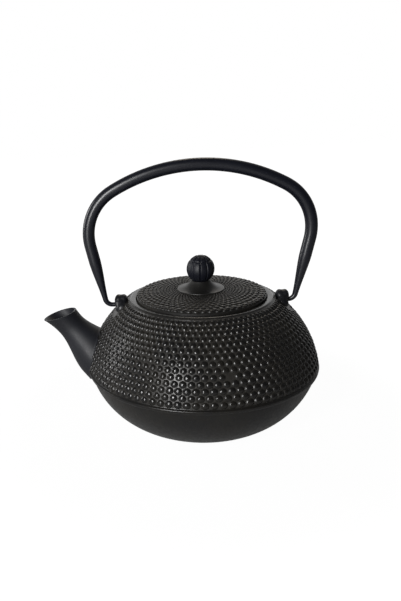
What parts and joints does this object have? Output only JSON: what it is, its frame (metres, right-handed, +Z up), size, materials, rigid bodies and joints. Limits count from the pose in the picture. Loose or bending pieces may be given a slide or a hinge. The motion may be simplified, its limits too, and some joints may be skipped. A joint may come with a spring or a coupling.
{
  "type": "cast iron teapot",
  "caption": "Squat cast iron teapot with a hobnailed body, short spout, lift-off knobbed lid, swinging bail handle and a lift-out mesh infuser.",
  "frame": {"origin": "centre of the flat base, on the table", "axes": "+Z up, the spout points along -X, and the bail swings about a line parallel to X through the two ears"},
  "size_m": [0.1943, 0.164, 0.1842],
  "materials": {
    "body_iron": "matt black enamelled cast iron, satin on the rubbed hobnails and rim",
    "lid_iron": "matt brownish black cast iron",
    "collar_iron": "smooth satin black cast iron",
    "bail_paint": "satin blue-black paint on iron",
    "knob_paint": "satin blue-black paint on iron",
    "rivet_steel": "plain dull steel",
    "sheet_steel": "polished stainless sheet",
    "mesh_steel": "fine woven stainless wire mesh"
  },
  "bodies": {
    "pot": {"pot_body": "body_iron"},
    "bail": {"bail_handle": "bail_paint"},
    "infuser": {"infuser_rim": "sheet_steel", "infuser_wall": "mesh_steel", "infuser_floor": "mesh_steel", "infuser_foot_band": "sheet_steel"},
    "lid": {"lid": "lid_iron", "knob_collar": "collar_iron", "lid_knob": "knob_paint", "knob_rivet": "rivet_steel", "rivet_washer": "rivet_steel"}
  },
  "joints": [
    {"name": "bail_swing", "type": "hinge", "parent": "pot", "child": "bail", "pos_m": [0, 0, 0.0875], "axis": [1, 0, 0], "range_deg": [-112, 112]},
    {"name": "infuser_lift", "type": "slide", "parent": "pot", "child": "infuser", "axis": [0, 0, 1], "range_m": [0, 0.052]},
    {"name": "lid_lift", "type": "slide", "parent": "infuser", "child": "lid", "axis": [0, 0, 1], "range_m": [0, 0.05]}
  ]
}
